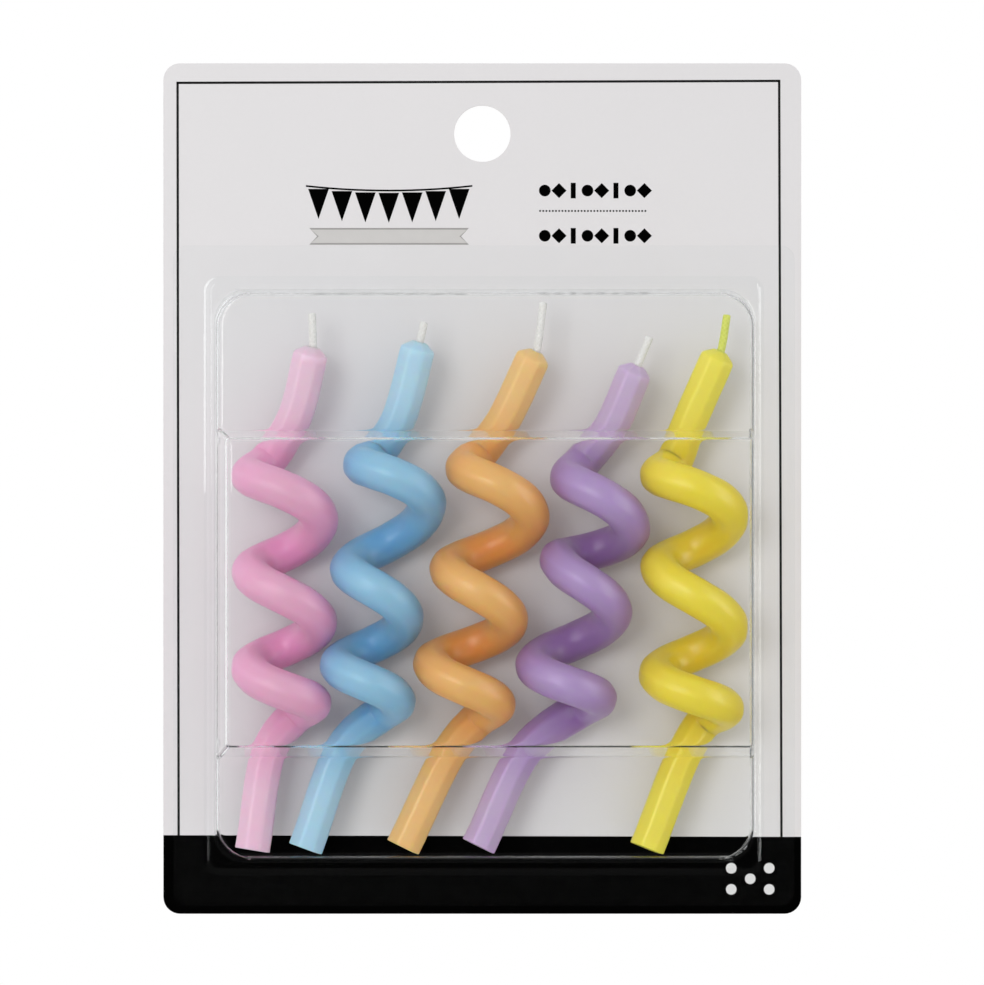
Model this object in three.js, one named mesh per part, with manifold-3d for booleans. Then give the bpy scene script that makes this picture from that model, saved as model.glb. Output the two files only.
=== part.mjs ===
// Five spiral birthday candles in a clear blister on a hang card.
//
// Millimetres, +Z up. The pack faces -Y. The origin is the centre of the hang hole on the back of the card.
// The pieces are drawn in the picture plane (x to the right, y up, z towards the viewer) inside one group,
// which is then stood upright.
import * as THREE from 'three';
import { mergeVertices } from 'three/addons/utils/BufferGeometryUtils.js';
import Module from 'manifold-3d';

const wasm = await Module();
wasm.setup();

// Backing card: 4.5 by 6 inch board
const card = { width: 114.3, height: 152.4, thickness: 0.5, cornerRadius: 3 };
const hangHole = { diameter: 10.1, belowTop: 12.6 };
const cardTop = hangHole.belowTop;
const cardBottom = cardTop - card.height;

// Blister: one formed sheet. Depths are measured from the front of the card, and a draft is how far a wall
// leans inwards for each millimetre of depth.
const sheet = 0.4;
const sealGap = 0.05;
const blisterX = 0.3;
const flange = { width: 111.2, height: 118.2, cornerRadius: 2.5, bottom: cardBottom + 1.5 };
const plinth = { width: 98, height: 105, cornerRadius: 1.6, bottom: cardBottom + 8.1, depth: 0.9, inset: 0.3 };
const tray = { width: 96.9, height: 102.7, cornerRadius: 6, bottom: cardBottom + 9.4, depth: 13 };
const trayDraft = { left: 0.1, right: 0.06, bottom: 0.11, top: 0.11 };
const band = { height: 57.7, cornerRadius: 1.2, bottom: cardBottom + 28.8, depth: 20.1, ledge: 0.1 };
const bandInset = { left: 2.2, right: 0.4, bottom: 2.4, top: 2 };

// Candles: a round wax rod wound left-handed round a mandrel, with a bent straight end above and below. The
// rod is a little thicker in the coil, which starts and ends within the given shares of its length.
const rod = { diameter: 6.3, coilDiameter: 6.8, sides: 10, steps: 72 };
const coil = { depth: 9.85, radius: 6.05, starts: [0.07, 0.15], ends: [0.81, 0.89] };
const coilEnds = { upper: 0.32, lower: 0.35 };
const bore = { diameter: 2.6, sides: 5 };
const wick = { diameter: 1.4, sides: 5, steps: 76 };
const tipCone = { height: 0.8, baseRadius: 2.9, topRadius: 1.15, root: 0.4 };
const endDepth = { tip: 8.5, neck: 6.6, hip: 5.6, foot: 7.4 };

// Each candle's line in the picture plane: the upper end, where the rod leaves its straight end, the six
// turning points of the coil (left and right by turns, downwards), and the same for the lower end. The slants
// say how much higher the near side, or lower the far side, of each half turn lies than its turning points do.
const candles = [
  {
    colour: 'pink', wax: 0xe0a0c4, wickColour: 0xf2e6ea, wickTop: [-30.2, -32.5],
    tip: [-30.3, -39.4], neck: [-33.4, -51.1],
    bends: [[-41.1, -61.2], [-28.8, -69], [-41, -78.2], [-29, -87.2], [-41.1, -95.2], [-30, -101.6]],
    slants: [1.3, 1.2, 0.5, 0.7, -0.4],
    hip: [-37.5, -109.2], foot: [-40.8, -127.8],
  },
  {
    colour: 'blue', wax: 0x8fbcd6, wickColour: 0xeef0f2, wickTop: [-10.3, -34.1],
    tip: [-11.3, -38.5], neck: [-15, -51.6],
    bends: [[-21.3, -59.3], [-9.7, -66.3], [-23.6, -77.7], [-13.7, -86.5], [-25.4, -94.8], [-15.1, -101.3]],
    slants: [1.3, 1.2, 0.8, 0.8, 0.5],
    hip: [-24.2, -108.8], foot: [-31.4, -127.6],
  },
  {
    colour: 'orange', wax: 0xe0a862, wickColour: 0xf1efe9, wickTop: [10.8, -30.6],
    tip: [9.2, -40.1], neck: [3.6, -51.8],
    bends: [[-3.2, -60], [8.6, -68.6], [-6, -77.7], [4.8, -87], [-8.9, -94.5], [2.6, -101.9]],
    slants: [1.3, 1.2, 0.6, 0.8, 0],
    hip: [-5, -109.2], foot: [-14.1, -127.3],
  },
  {
    colour: 'purple', wax: 0xa98bc0, wickColour: 0xece9ee, wickTop: [29.7, -36.7],
    tip: [27.2, -42.6], neck: [22.6, -53],
    bends: [[15.3, -61.7], [26.4, -70.8], [13.5, -76.1], [23.2, -85.6], [9.2, -94.8], [20.5, -100.8]],
    slants: [1.3, 1.2, 0.5, 0.7, -0.2],
    hip: [8.2, -109.6], foot: [-0.7, -127.1],
  },
  {
    colour: 'yellow', wax: 0xdccb4c, wickColour: 0xdfe27a, wickTop: [43.4, -32.8],
    tip: [41.9, -40.1], neck: [36.6, -52.3],
    bends: [[31.2, -61.2], [43.9, -68.6], [31.3, -77.5], [43.8, -88.3], [31, -96.5], [43, -102.7]],
    slants: [1.3, 1.2, 0.3, 0.6, -0.2],
    hip: [36.4, -109.8], foot: [29.2, -127.5],
  },
];

function roundedRectangle(width, height, radius) {
  const right = width / 2 - radius;
  const top = height / 2 - radius;
  const shape = new THREE.Shape();
  shape.absarc(right, top, radius, 0, Math.PI / 2);
  shape.absarc(-right, top, radius, Math.PI / 2, Math.PI);
  shape.absarc(-right, -top, radius, Math.PI, Math.PI * 1.5);
  shape.absarc(right, -top, radius, Math.PI * 1.5, Math.PI * 2);
  shape.closePath();
  return shape;
}

function regularPolygon(diameter, sides) {
  const shape = new THREE.Shape();
  for (let side = 0; side < sides; side += 1) {
    const angle = (2 * Math.PI * side) / sides;
    const x = (diameter / 2) * Math.cos(angle);
    const y = (diameter / 2) * Math.sin(angle);
    if (side === 0) shape.moveTo(x, y);
    else shape.lineTo(x, y);
  }
  shape.closePath();
  return shape;
}

function toSolid(geometry) {
  geometry.deleteAttribute('normal');
  geometry.deleteAttribute('uv');
  const merged = mergeVertices(geometry, 1e-4);
  return new wasm.Manifold(new wasm.Mesh({
    numProp: 3,
    vertProperties: new Float32Array(merged.attributes.position.array),
    triVerts: new Uint32Array(merged.index.array),
  }));
}

function toGeometry(solid) {
  const mesh = solid.getMesh();
  const geometry = new THREE.BufferGeometry();
  geometry.setAttribute('position', new THREE.BufferAttribute(mesh.vertProperties, 3));
  geometry.setIndex(new THREE.BufferAttribute(mesh.triVerts, 1));
  geometry.computeVertexNormals();
  return geometry;
}

function plainMaterial(color, roughness) {
  return new THREE.MeshStandardMaterial({ color, roughness, metalness: 0 });
}

function makeMesh(name, geometry, material) {
  const mesh = new THREE.Mesh(geometry, material);
  mesh.name = name;
  return mesh;
}

function backingCard() {
  const outline = roundedRectangle(card.width, card.height, card.cornerRadius);
  const hole = new THREE.Path();
  hole.absarc(0, card.height / 2 - hangHole.belowTop, hangHole.diameter / 2, 0, Math.PI * 2, true);
  outline.holes.push(hole);
  const geometry = new THREE.ExtrudeGeometry(outline, {
    depth: card.thickness, bevelEnabled: false, curveSegments: 12,
  });
  geometry.translate(0, cardTop - card.height / 2, 0);
  return makeMesh('backing_card', geometry, plainMaterial(0xdddbdc, 0.5));
}

// A rounded block from one depth to another, whose front ring is drawn in by the four insets
function formedBlock({ width, height, cornerRadius, bottom, centreX = 0 }, from, to, inset) {
  const outline = roundedRectangle(width, height, cornerRadius);
  const geometry = new THREE.ExtrudeGeometry(outline, {
    depth: to - from, bevelEnabled: false, curveSegments: 6,
  });
  const points = geometry.attributes.position;
  for (let index = 0; index < points.count; index += 1) {
    if (points.getZ(index) > 0) {
      const x = points.getX(index) * (1 - (inset.left + inset.right) / width);
      const y = points.getY(index) * (1 - (inset.bottom + inset.top) / height);
      points.setX(index, x + (inset.left - inset.right) / 2);
      points.setY(index, y + (inset.bottom - inset.top) / 2);
    }
  }
  geometry.translate(centreX, bottom + height / 2, from);
  return toSolid(geometry);
}

function evenInset(inset) {
  return { left: inset, right: inset, bottom: inset, top: inset };
}

function shrunk(block, wall) {
  return {
    width: block.width - 2 * wall,
    height: block.height - 2 * wall,
    cornerRadius: block.cornerRadius - wall,
    bottom: block.bottom + wall,
    centreX: block.centreX,
  };
}

function trayBlock(from, wall) {
  const rise = tray.depth - wall - from;
  const inset = {
    left: trayDraft.left * rise,
    right: trayDraft.right * rise,
    bottom: trayDraft.bottom * rise,
    top: trayDraft.top * rise,
  };
  return formedBlock(shrunk(tray, wall), from, from + rise, inset);
}

// The deeper band over the coils, which stands on the front of the tray from side to side
function bandBlock(wall) {
  const left = tray.width / 2 - trayDraft.left * tray.depth - band.ledge;
  const right = tray.width / 2 - trayDraft.right * tray.depth - band.ledge;
  const block = { ...band, width: left + right, centreX: (right - left) / 2 };
  return formedBlock(shrunk(block, wall), tray.depth - wall, band.depth - wall, bandInset);
}

function blister() {
  const behind = -0.2;
  const outside = formedBlock(flange, 0, sheet, evenInset(0))
    .add(formedBlock(plinth, 0, plinth.depth, evenInset(plinth.inset)))
    .add(trayBlock(0, 0))
    .add(bandBlock(0));
  const inside = formedBlock(shrunk(plinth, sheet), behind, plinth.depth - sheet, evenInset(plinth.inset))
    .add(trayBlock(behind, sheet))
    .add(bandBlock(sheet));
  const geometry = toGeometry(outside.subtract(inside));
  const material = plainMaterial(0xf4f6f7, 0.08);
  material.transparent = true;
  material.opacity = 0.2;
  const mesh = makeMesh('blister', geometry, material);
  mesh.position.set(blisterX, 0, card.thickness + sealGap);
  return mesh;
}

// A half turn of the coil between two neighbouring turning points, in eighths of a turn
function halfTurn([fromX, fromY], [toX, toY], towardsViewer, slant) {
  const points = [];
  for (let eighth = 0; eighth < 4; eighth += 1) {
    const share = eighth / 4;
    const swing = (1 - Math.cos(Math.PI * share)) / 2;
    const nearness = towardsViewer * Math.sin(Math.PI * share);
    const x = fromX + (toX - fromX) * swing;
    const y = fromY + (toY - fromY) * share + slant * nearness;
    points.push(new THREE.Vector3(x, y, coil.depth + coil.radius * nearness));
  }
  return points;
}

// A point behind the coil, the given share of a half turn past its first or its last turning point
function pastCoil([outerX, outerY], [innerX, innerY], share) {
  const swing = (1 - Math.cos(Math.PI * share)) / 2;
  const depth = coil.depth - coil.radius * Math.sin(Math.PI * share);
  return new THREE.Vector3(outerX + (innerX - outerX) * swing, outerY - (innerY - outerY) * share, depth);
}

function rodPath({ tip, neck, bends, slants, hip, foot }) {
  const first = bends[0];
  const last = bends[bends.length - 1];
  const points = [
    new THREE.Vector3(...tip, endDepth.tip),
    new THREE.Vector3(...neck, endDepth.neck),
    pastCoil(first, bends[1], coilEnds.upper),
  ];
  for (let bend = 0; bend < bends.length - 1; bend += 1) {
    const towardsViewer = bend % 2 === 0 ? 1 : -1;
    points.push(...halfTurn(bends[bend], bends[bend + 1], towardsViewer, slants[bend]));
  }
  points.push(new THREE.Vector3(...last, coil.depth));
  points.push(pastCoil(last, bends[bends.length - 2], coilEnds.lower));
  points.push(new THREE.Vector3(...hip, endDepth.hip), new THREE.Vector3(...foot, endDepth.foot));
  const path = new THREE.CatmullRomCurve3(points);
  path.arcLengthDivisions = 1000;
  return path;
}

function tube(path, section, steps) {
  return new THREE.ExtrudeGeometry(section, { extrudePath: path, steps, bevelEnabled: false });
}

function nearestIndex(points, wanted) {
  let nearest = 0;
  for (let index = 1; index < points.length; index += 1) {
    if (points[index].distanceTo(wanted) < points[nearest].distanceTo(wanted)) nearest = index;
  }
  return nearest;
}

// The wax rod without its bore: a tube whose rings are widened where the coil is
function solidRod(path) {
  const geometry = tube(path, regularPolygon(rod.diameter, rod.sides), rod.steps);
  const middles = path.getSpacedPoints(rod.steps);
  const points = geometry.attributes.position;
  const point = new THREE.Vector3();
  for (let index = 0; index < points.count; index += 1) {
    point.fromBufferAttribute(points, index);
    const ring = nearestIndex(middles, point);
    const share = ring / rod.steps;
    const begun = THREE.MathUtils.smoothstep(share, ...coil.starts);
    const ended = THREE.MathUtils.smoothstep(share, ...coil.ends);
    const widening = 1 + (begun - ended) * (rod.coilDiameter / rod.diameter - 1);
    point.sub(middles[ring]).multiplyScalar(widening).add(middles[ring]);
    points.setXYZ(index, point.x, point.y, point.z);
  }
  return toSolid(geometry);
}

// The rod's middle line with more points before its upper end and after its lower end
function threadedPath(path, above, below) {
  const along = new THREE.CatmullRomCurve3([...above, ...path.getSpacedPoints(rod.steps), ...below]);
  along.arcLengthDivisions = 1000;
  return along;
}

function outward(path, end, distance) {
  const sign = end === 0 ? -1 : 1;
  return path.getPointAt(end).addScaledVector(path.getTangentAt(end), sign * distance);
}

function coneSolid(path) {
  const profile = [
    new THREE.Vector2(0, -tipCone.root),
    new THREE.Vector2(tipCone.baseRadius, -tipCone.root),
    new THREE.Vector2(tipCone.baseRadius, 0),
    new THREE.Vector2(tipCone.topRadius, tipCone.height),
    new THREE.Vector2(0, tipCone.height),
  ];
  const geometry = new THREE.LatheGeometry(profile, rod.sides);
  const up = path.getTangentAt(0).negate();
  geometry.applyQuaternion(new THREE.Quaternion().setFromUnitVectors(new THREE.Vector3(0, 1, 0), up));
  geometry.translate(...path.getPointAt(0).toArray());
  return toSolid(geometry);
}

function candleWax(candle, path) {
  const overrun = 2;
  const borePath = threadedPath(path, [outward(path, 0, overrun)], [outward(path, 1, overrun)]);
  const solid = solidRod(path)
    .add(coneSolid(path))
    .subtract(toSolid(tube(borePath, regularPolygon(bore.diameter, bore.sides), rod.steps + 2)));
  return makeMesh(`candle_${candle.colour}`, toGeometry(solid), plainMaterial(candle.wax, 0.45));
}

function candleWick(candle, path) {
  const top = new THREE.Vector3(...candle.wickTop, endDepth.tip);
  const leaving = outward(path, 0, tipCone.height + 0.4);
  const wickPath = threadedPath(path, [top, leaving], []);
  const geometry = tube(wickPath, regularPolygon(wick.diameter, wick.sides), wick.steps);
  return makeMesh(`wick_${candle.colour}`, geometry, plainMaterial(candle.wickColour, 0.9));
}

// The least gap between two stretches of one rod that are over three diameters apart along it
function leastGap(path, diameter) {
  const count = 600;
  const points = path.getSpacedPoints(count);
  const apart = Math.ceil((3 * diameter * count) / path.getLength());
  let least = Infinity;
  for (let first = 0; first < points.length; first += 1) {
    for (let second = first + apart; second < points.length; second += 1) {
      least = Math.min(least, points[first].distanceTo(points[second]) - diameter);
    }
  }
  return least;
}

const pack = new THREE.Group();
pack.rotation.x = Math.PI / 2;
pack.add(backingCard(), blister());
for (const candle of candles) {
  const path = rodPath(candle);
  const gap = leastGap(path, rod.coilDiameter);
  const length = path.getLength();
  console.log(`${candle.colour} coil: ${length.toFixed(1)} mm of rod, least gap ${gap.toFixed(2)} mm`);
  const held = new THREE.Group();
  held.position.z = card.thickness;
  held.add(candleWax(candle, path), candleWick(candle, path));
  pack.add(held);
}

const model = new THREE.Group();
model.add(pack);
export default model;
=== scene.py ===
"""Five spiral birthday candles in a clear formed blister on a hang card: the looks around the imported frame.

Lengths are in millimetres until a point is placed. A point of the pack is (across, up, depth): across to the
right, up the card from the middle of the hang hole, and depth out of the card's front towards the viewer.
"""
import math

import bmesh
import bpy
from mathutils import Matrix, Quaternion, Vector, noise


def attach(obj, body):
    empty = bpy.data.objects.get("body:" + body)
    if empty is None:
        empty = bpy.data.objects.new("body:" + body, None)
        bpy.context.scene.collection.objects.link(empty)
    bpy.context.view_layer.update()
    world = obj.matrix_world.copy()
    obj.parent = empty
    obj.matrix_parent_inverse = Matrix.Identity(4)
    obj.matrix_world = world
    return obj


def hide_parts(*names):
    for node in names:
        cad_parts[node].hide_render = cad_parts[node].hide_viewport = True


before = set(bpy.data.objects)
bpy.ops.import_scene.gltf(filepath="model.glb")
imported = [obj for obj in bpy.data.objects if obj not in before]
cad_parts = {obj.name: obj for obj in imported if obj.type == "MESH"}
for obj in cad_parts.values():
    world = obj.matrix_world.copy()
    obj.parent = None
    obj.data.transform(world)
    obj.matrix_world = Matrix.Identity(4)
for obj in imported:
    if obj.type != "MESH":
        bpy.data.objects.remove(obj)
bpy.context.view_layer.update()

MM = 0.001

BOARD = {"width": 114.3, "height": 152.4, "thickness": 0.5, "corner": 3.0}
HANG_HOLE_DIAMETER = 10.1
BOARD_TOP = 12.6
BOARD_BOTTOM = BOARD_TOP - BOARD["height"]

# The formed sheet. A draft is how far a wall leans inwards for each millimetre of depth.
SHEET = 0.35
SEAL_GAP = 0.05
SHEET_ACROSS = 0.3
FLANGE = {"width": 111.2, "height": 118.2, "corner": 2.5, "bottom": BOARD_BOTTOM + 1.5, "depth": 0.4}
PLINTH = {"width": 98.0, "height": 105.0, "corner": 1.6, "bottom": BOARD_BOTTOM + 8.1, "depth": 0.9}
TRAY = {"left": -48.45, "right": 48.45, "bottom": BOARD_BOTTOM + 9.4, "height": 102.7, "corner": 6.0, "depth": 13.0}
TRAY_DRAFT = {"left": 0.1, "right": 0.06, "bottom": 0.11, "top": 0.11}
BAND = {"bottom": BOARD_BOTTOM + 28.8, "height": 57.7, "corner": 0.6, "depth": 20.1, "ledge": 0.1}
BAND_INSET = {"left": 2.2, "right": 0.4, "bottom": 2.4, "top": 1.6}
# The low step's slope, outwards from the plinth's edge as (how far outside it, depth)
PLINTH_SLOPE = ((-0.16, 0.9), (0.02, 0.87), (0.2, 0.78), (0.38, 0.66), (0.56, 0.54), (0.74, 0.45), (0.95, 0.41),
                (1.2, 0.4))
# The radii of the rounds at the tray's foot, its front edge, the band's front edge and the band's foot
FILLETS = {"base": 0.3, "tray": 1.3, "band": 1.3, "step": 0.45}
ROUND_STEPS = 12
CORNER_STEPS = 8
CORNERS = ((-1, -1), (1, -1), (1, 1), (-1, 1))

# The candles: a wax rod, octagonal with soft edges, wound into a coil that is a little thicker than the ends
ROD_DIAMETER = 6.35
COIL_DIAMETER = 6.75
COIL = {"depth": 9.85, "radius": 6.05, "starts": (0.07, 0.15), "ends": (0.81, 0.89), "upper": 0.32, "lower": 0.35}
# How far the rod's outside swells and sinks
DENT = 0.03
# How much the outer sides of a coil's turns are painted paler, as painted light, against 1 for its front. Below 0
# they are painted deeper, as painted shade.
BEND_SIDE_PAINTED_LIGHT = -0.3
END_DEPTH = {"tip": 8.5, "neck": 6.6, "hip": 5.6, "foot": 7.4}
WICK_DIAMETER = 1.4
BORE_DIAMETER = 1.7
CANDLES = {
    "pink": {
        "wick_top": (-30.2, -32.5), "tip": (-30.3, -39.4), "neck": (-33.4, -51.1),
        "bends": [(-41.1, -61.2), (-28.8, -69), (-41, -78.2), (-29, -87.2), (-41.1, -95.2), (-30, -101.6)],
        "slants": [1.3, 1.2, 0.5, 0.7, -0.4], "hip": (-37.5, -109.2), "foot": (-40.8, -127.8),
    },
    "blue": {
        "wick_top": (-10.3, -34.1), "tip": (-11.3, -38.5), "neck": (-15, -51.6),
        "bends": [(-21.3, -59.3), (-9.7, -66.3), (-23.6, -77.7), (-13.7, -86.5), (-25.4, -94.8), (-15.1, -101.3)],
        "slants": [1.3, 1.2, 0.8, 0.8, 0.5], "hip": (-24.2, -108.8), "foot": (-31.4, -127.6),
    },
    "orange": {
        "wick_top": (10.8, -30.6), "tip": (9.2, -40.1), "neck": (3.6, -51.8),
        "bends": [(-3.2, -60), (8.6, -68.6), (-6, -77.7), (4.8, -87), (-8.9, -94.5), (2.6, -101.9)],
        "slants": [1.3, 1.2, 0.6, 0.8, 0], "hip": (-5, -109.2), "foot": (-14.1, -127.3),
    },
    "purple": {
        "wick_top": (29.7, -36.7), "tip": (27.2, -42.6), "neck": (22.6, -53),
        "bends": [(15.3, -61.7), (26.4, -70.8), (13.5, -76.1), (23.2, -85.6), (9.2, -94.8), (20.5, -100.8)],
        "slants": [1.3, 1.2, 0.5, 0.7, -0.2], "hip": (8.2, -109.6), "foot": (-0.7, -127.1),
    },
    "yellow": {
        "wick_top": (43.4, -32.8), "tip": (41.9, -40.1), "neck": (36.6, -52.3),
        "bends": [(31.2, -61.2), (43.9, -68.6), (31.3, -77.5), (43.8, -88.3), (31, -96.5), (43, -102.7)],
        "slants": [1.3, 1.2, 0.3, 0.6, -0.2], "hip": (36.4, -109.8), "foot": (29.2, -127.5),
    },
}

# The print. A layer of ink is drawn thicker than it is, so that it shows, and reaches a little into the board.
INK = 0.012
INK_ROOT = 0.004
FRAME_LINE = {"width": 0.43, "upper_left": (-54.6, 9.1), "upper_right": (53.2, 9.45)}
FRAME_FEET = {"left": -54.4, "right": 53.6}
FOOT_BAND_TOP = {"left": -125.7, "right": -126.0}
PENNANT = {"count": 7, "first": -31.2, "pitch": 4.2, "width": 3.7, "drop": 5.4, "top": -9.7}
CORD = {"first": -31.6, "step": 2.13, "steps": 14, "middle": -16.75, "half_span": 15.5, "top": -9.3, "half": 0.16}
GARLAND_SAG = 0.9
RIBBON = {"left": -31.0, "right": -2.4, "bottom": -19.9, "top": -16.9, "notch": 1.4, "edge": 0.3}
CONFETTI = {"first": 11.2, "pitch": 2.55, "count": 8, "rows": (-10.2, -18.3)}
DOTTED_RULE = {"first": 10.35, "pitch": 0.572, "count": 34, "up": -13.85, "radius": 0.18}
PIPS = {"across": 48.0, "up": -133.5, "aside": 3.4, "above": 1.9, "radius": 0.95}

# The floor, in metres from the frame's origin
FLOOR = {"radius": 0.45, "height": -0.2, "fades_from": 0.22}

# The camera's distance from the card's back, one pixel of the photograph at the card, and its height in pixels
CAMERA_DISTANCE = 800
PIXEL = 0.1793
PHOTO_HEIGHT = 985
CAMERA_AIM = (1.74, -64.3)


def placed(across, up, depth):
    """A point of the pack, in the frame's metres."""
    return Vector((across, -(BOARD["thickness"] + depth), up)) * MM


# Materials

def linear(hex_colour):
    """An sRGB hex colour as linear light, with full alpha."""
    channels = [int(hex_colour[start:start + 2], 16) / 255 for start in (0, 2, 4)]
    return [c / 12.92 if c <= 0.04045 else ((c + 0.055) / 1.055) ** 2.4 for c in channels] + [1]


def add(tree, kind, inputs=None, **settings):
    """Adds a node with its settings. An input is a value or another node's output."""
    made = tree.nodes.new(kind)
    for name, value in settings.items():
        setattr(made, name, value)
    for socket, value in (inputs or {}).items():
        if isinstance(value, bpy.types.NodeSocket):
            tree.links.new(value, made.inputs[socket])
        else:
            made.inputs[socket].default_value = value
    return made


def noise_field(tree, place, scale, detail):
    """Noise from 0 to 1 over a piece. The scale is its cells to the metre."""
    return add(tree, "ShaderNodeTexNoise", {"Vector": place, "Scale": scale, "Detail": detail}).outputs["Fac"]


def new_material(name):
    material = bpy.data.materials.new(name)
    material.use_nodes = True
    material.node_tree.nodes.clear()
    return material, material.node_tree


def drawn_wax(name, painted_shade_colour, painted_lit_colour, tip):
    """Dyed paraffin wax, drawn through a die and coiled warm, with painted light and shade in its colour. In the
    coil, faces turned to the viewer on the front turns take the paler colour, as painted light, and those on the
    back turns and on the outer sides of the turns the deeper, more saturated one, as painted shade; the straight
    ends take mostly the paler one. The tip and, a little less, the foot are painted paler still, as painted light.
    Light goes some way into the wax, furthest in its own colour, and its satin skin has faint drawing lines and
    dents."""
    material, tree = new_material(name)
    place = add(tree, "ShaderNodeTexCoord").outputs["Object"]
    # Clouds of dye about 7 mm across, drawing grain about 1 mm and dents about 4 mm
    clouds = noise_field(tree, place, 140, 3)
    # Painted light and shade: how much of the paler colour each point takes, set in the mesh, plus random clouds of
    # tone in the wax
    painted_lit_side = add(tree, "ShaderNodeAttribute", attribute_name="painted_lit_share").outputs["Fac"]
    uneven = add(tree, "ShaderNodeMapRange", {"Value": clouds, "To Min": -0.12, "To Max": 0.12}).outputs[0]
    painted_light_and_clouds = add(tree, "ShaderNodeMath", {0: painted_lit_side, 1: uneven}, operation="ADD", use_clamp=True).outputs[0]
    # Painted light: the tip and, a little less, the foot are painted towards the pale tip colour
    paler_ends_painted = add(tree, "ShaderNodeAttribute", attribute_name="paler_ends_painted").outputs["Fac"]
    shaded_to_lit_wax = add(tree, "ShaderNodeMix", {"Factor": painted_light_and_clouds, 6: linear(painted_shade_colour), 7: linear(painted_lit_colour)},
                data_type="RGBA").outputs[2]
    wax_colour_and_painted_light = add(tree, "ShaderNodeMix", {"Factor": paler_ends_painted, 6: shaded_to_lit_wax, 7: linear(tip)}, data_type="RGBA").outputs[2]
    grain = noise_field(tree, place, 900, 2)
    dents = noise_field(tree, place, 260, 1)
    height = add(tree, "ShaderNodeMath", {0: dents, 1: 2.0, 2: grain}, operation="MULTIPLY_ADD").outputs[0]
    bump = add(tree, "ShaderNodeBump", {"Height": height, "Strength": 0.25, "Distance": 0.00012})
    rough = add(tree, "ShaderNodeMapRange", {"Value": dents, "To Min": 0.36, "To Max": 0.5}).outputs[0]
    shader = add(tree, "ShaderNodeBsdfPrincipled", {
        "Base Color": wax_colour_and_painted_light, "Roughness": rough, "Normal": bump.outputs[0], "IOR": 1.43,
        "Coat Weight": 0.4, "Coat Roughness": 0.36, "Coat IOR": 1.45,
        "Subsurface Weight": 0.8, "Subsurface Radius": linear(painted_shade_colour)[:3], "Subsurface Scale": 0.0045,
    })
    add(tree, "ShaderNodeOutputMaterial", {"Surface": shader.outputs[0]})
    return material


def braided_cotton(name, pale, shade):
    """Braided cotton wick dipped in wax. The strands cross at a slant, 0.5 mm apart along the wick."""
    material, tree = new_material(name)
    place = add(tree, "ShaderNodeUVMap", uv_map="along").outputs["UV"]
    strands = [
        add(tree, "ShaderNodeTexWave", {
            "Vector": add(tree, "ShaderNodeMapping", {"Vector": place, "Rotation": (0, 0, turn)}).outputs[0],
            "Scale": 0.45, "Distortion": 0.6,
        }).outputs["Fac"] for turn in (math.radians(52), math.radians(-52))
    ]
    braid = add(tree, "ShaderNodeMath", {0: strands[0], 1: strands[1]}, operation="MAXIMUM").outputs[0]
    # Painted shade: the grooves between the strands, where the braid is low, take the shade colour, the strands the
    # pale one
    colour = add(tree, "ShaderNodeMix", {"Factor": braid, 6: linear(shade), 7: linear(pale)}, data_type="RGBA")
    bump = add(tree, "ShaderNodeBump", {"Height": braid, "Strength": 0.6, "Distance": 0.00015})
    shader = add(tree, "ShaderNodeBsdfPrincipled", {
        "Base Color": colour.outputs[2], "Roughness": 0.72, "Normal": bump.outputs[0], "IOR": 1.45,
        "Subsurface Weight": 0.6, "Subsurface Radius": (1, 1, 1), "Subsurface Scale": 0.001,
    })
    add(tree, "ShaderNodeOutputMaterial", {"Surface": shader.outputs[0]})
    return material


def paper_board(name, pale, shade, roughness, fibre_scale, relief):
    """Bleached board: matt fibres on the back and the cut edge, a smooth clay coat with a soft sheen in front."""
    material, tree = new_material(name)
    place = add(tree, "ShaderNodeTexCoord").outputs["Object"]
    # Fibres from 0.2 to 0.7 mm, drawn as coarse as they need to show, in clouds of about 17 mm
    fibres = noise_field(tree, place, fibre_scale, 4)
    mottle = noise_field(tree, place, 60, 2)
    both = add(tree, "ShaderNodeMix", {"Factor": 0.5, "A": fibres, "B": mottle}).outputs[0]
    colour = add(tree, "ShaderNodeMix", {"Factor": both, 6: linear(pale), 7: linear(shade)}, data_type="RGBA")
    rough = add(tree, "ShaderNodeMapRange", {
        "Value": fibres, "To Min": roughness - 0.05, "To Max": roughness + 0.05,
    }).outputs[0]
    bump = add(tree, "ShaderNodeBump", {"Height": fibres, "Strength": relief, "Distance": 0.00003})
    shader = add(tree, "ShaderNodeBsdfPrincipled", {
        "Base Color": colour.outputs[2], "Roughness": rough, "Normal": bump.outputs[0], "IOR": 1.5,
        "Specular IOR Level": 0.35,
    })
    add(tree, "ShaderNodeOutputMaterial", {"Surface": shader.outputs[0]})
    return material


def printed_ink(name, pale, shade, roughness, gloss):
    """Offset ink on the coat: dense, a touch glossier than the board, with the coat's fine mottle in it."""
    material, tree = new_material(name)
    place = add(tree, "ShaderNodeTexCoord").outputs["Object"]
    # The coat takes ink unevenly over about 2.4 mm
    mottle = noise_field(tree, place, 420, 3)
    colour = add(tree, "ShaderNodeMix", {"Factor": mottle, 6: linear(pale), 7: linear(shade)}, data_type="RGBA")
    rough = add(tree, "ShaderNodeMapRange", {
        "Value": mottle, "To Min": roughness - 0.06, "To Max": roughness + 0.06,
    }).outputs[0]
    bump = add(tree, "ShaderNodeBump", {"Height": mottle, "Strength": 0.1, "Distance": 0.00002})
    shader = add(tree, "ShaderNodeBsdfPrincipled", {
        "Base Color": colour.outputs[2], "Roughness": rough, "Normal": bump.outputs[0], "IOR": 1.45,
        "Specular IOR Level": gloss,
    })
    add(tree, "ShaderNodeOutputMaterial", {"Surface": shader.outputs[0]})
    return material


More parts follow.
